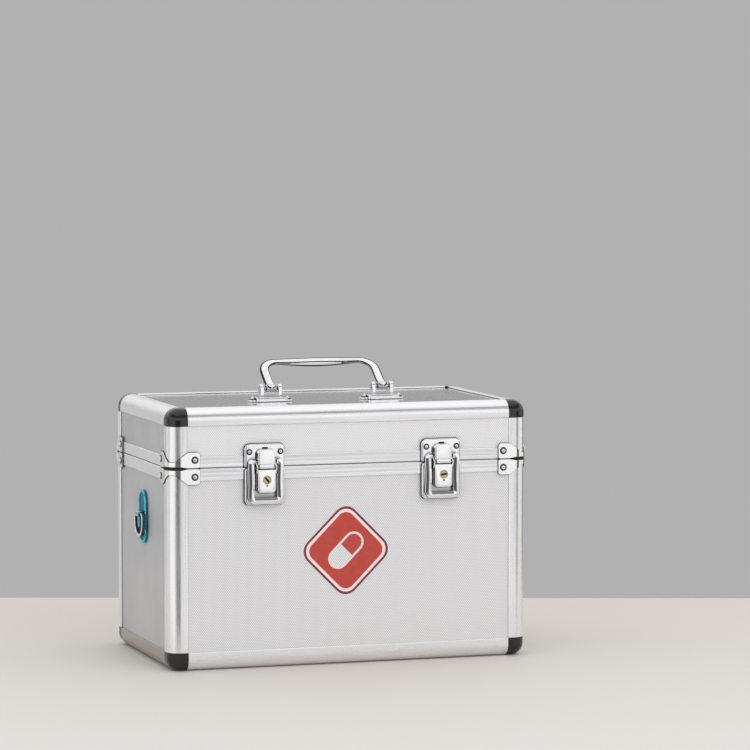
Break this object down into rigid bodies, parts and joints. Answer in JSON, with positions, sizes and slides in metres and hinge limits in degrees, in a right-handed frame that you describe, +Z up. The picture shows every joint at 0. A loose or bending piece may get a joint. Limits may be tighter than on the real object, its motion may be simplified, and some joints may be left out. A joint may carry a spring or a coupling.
{
  "type": "medication lock box",
  "caption": "Hinged aluminium-framed lock box for medicines, with keyed draw latches, a folding carrying handle, corner caps and side strap rings.",
  "frame": {"origin": "middle of the case's underside, on the floor", "axes": "+X to the right seen from the front, +Y to the hinged rear, +Z up; the latches face -Y"},
  "size_m": [0.374, 0.2215, 0.2876],
  "materials": {
    "rail": "satin anodised extrusion",
    "front_panel": "fine dimple-embossed sheet",
    "side_panel": "smooth satin laminate",
    "corner_cap": "gloss black moulding",
    "brace_plate": "bright plated plate and rivets",
    "chrome": "polished",
    "latch_satin": "satin plated",
    "brass": "turned brass",
    "strap_plate": "protective tinted film over polished metal",
    "steel": "zinc plated",
    "lining": "matt foam sheet"
  },
  "bodies": {
    "case_body": {"body_front_panel": "front_panel", "body_rear_panel": "front_panel", "body_left_panel": "side_panel", "body_right_panel": "side_panel", "body_edge_frame": "rail", "body_closure_frame": "rail", "body_lining": "lining", "body_post_front_left": "rail", "body_post_front_right": "rail", "body_post_rear_left": "rail", "body_post_rear_right": "rail", "body_cap_front_left": "corner_cap", "body_cap_front_right": "corner_cap", "body_cap_rear_left": "corner_cap", "body_cap_rear_right": "corner_cap", "body_brace_front_left": "brace_plate", "body_brace_front_right": "brace_plate", "body_brace_rear_left": "brace_plate", "body_brace_rear_right": "brace_plate", "body_bottom_panel": "side_panel", "rear_hinge_body_leaf": "steel", "left_latch_tray": "chrome", "right_latch_tray": "chrome", "left_strap_plate": "strap_plate", "right_strap_plate": "strap_plate"},
    "lid": {"lid_front_panel": "front_panel", "lid_rear_panel": "front_panel", "lid_left_panel": "side_panel", "lid_right_panel": "side_panel", "lid_edge_frame": "rail", "lid_closure_frame": "rail", "lid_lining": "lining", "lid_post_front_left": "rail", "lid_post_front_right": "rail", "lid_post_rear_left": "rail", "lid_post_rear_right": "rail", "lid_cap_front_left": "corner_cap", "lid_cap_front_right": "corner_cap", "lid_cap_rear_left": "corner_cap", "lid_cap_rear_right": "corner_cap", "lid_brace_front_left": "brace_plate", "lid_brace_front_right": "brace_plate", "lid_brace_rear_left": "brace_plate", "lid_brace_rear_right": "brace_plate", "lid_top_panel": "side_panel", "rear_hinge_lid_leaf": "steel", "left_latch_keeper": "chrome", "right_latch_keeper": "chrome", "left_handle_bracket": "chrome", "right_handle_bracket": "chrome"},
    "handle": {"carry_handle": "chrome"},
    "stay_arm": {"lid_stay": "steel"},
    "left_lever": {"left_latch_lever": "latch_satin"},
    "left_tongue": {"left_latch_tongue": "latch_satin"},
    "left_plug": {"left_lock_plug": "brass"},
    "left_ring": {"left_strap_ring": "chrome"},
    "right_lever": {"right_latch_lever": "latch_satin"},
    "right_tongue": {"right_latch_tongue": "latch_satin"},
    "right_plug": {"right_lock_plug": "brass"},
    "right_ring": {"right_strap_ring": "chrome"}
  },
  "joints": [
    {"name": "lid_hinge", "type": "hinge", "parent": "case_body", "child": "lid", "pos_m": [0, 0.1053, 0.1934], "axis": [-1, 0, 0], "range_deg": [0, 100]},
    {"name": "lid_stay_swing", "type": "hinge", "parent": "lid", "child": "stay_arm", "pos_m": [0.1688, 0.03103, 0.20384], "axis": [-1, 0, 0], "range_deg": [-50, 0]},
    {"name": "handle_swing", "type": "hinge", "parent": "lid", "child": "handle", "pos_m": [0, -0.023, 0.261], "axis": [1, 0, 0], "range_deg": [0, 110]},
    {"name": "left_lever_lift", "type": "hinge", "parent": "case_body", "child": "left_lever", "pos_m": [-0.0868, -0.1059, 0.197], "axis": [-1, 0, 0], "range_deg": [0, 80]},
    {"name": "left_tongue_swing", "type": "hinge", "parent": "left_lever", "child": "left_tongue", "pos_m": [-0.0868, -0.111, 0.1932], "axis": [-1, 0, 0], "range_deg": [-80, 0]},
    {"name": "left_lock_turn", "type": "hinge", "parent": "left_lever", "child": "left_plug", "pos_m": [-0.0868, -0.1105, 0.1815], "axis": [0, -1, 0], "range_deg": [0, 90]},
    {"name": "left_ring_swing", "type": "hinge", "parent": "case_body", "child": "left_ring", "pos_m": [-0.1837, -0.005, 0.141], "axis": [0, 1, 0], "range_deg": [0, 170]},
    {"name": "right_lever_lift", "type": "hinge", "parent": "case_body", "child": "right_lever", "pos_m": [0.0906, -0.1059, 0.197], "axis": [-1, 0, 0], "range_deg": [0, 80]},
    {"name": "right_tongue_swing", "type": "hinge", "parent": "right_lever", "child": "right_tongue", "pos_m": [0.0906, -0.111, 0.1932], "axis": [-1, 0, 0], "range_deg": [-80, 0]},
    {"name": "right_lock_turn", "type": "hinge", "parent": "right_lever", "child": "right_plug", "pos_m": [0.0906, -0.1105, 0.1815], "axis": [0, -1, 0], "range_deg": [0, 90]},
    {"name": "right_ring_swing", "type": "hinge", "parent": "case_body", "child": "right_ring", "pos_m": [0.1837, -0.005, 0.141], "axis": [0, -1, 0], "range_deg": [0, 170]}
  ],
  "couplings": [
    {"joint": "lid_stay_swing", "follows": "lid_hinge", "ratio": -0.5},
    {"joint": "left_tongue_swing", "follows": "left_lever_lift", "ratio": -1},
    {"joint": "right_tongue_swing", "follows": "right_lever_lift", "ratio": -1}
  ]
}
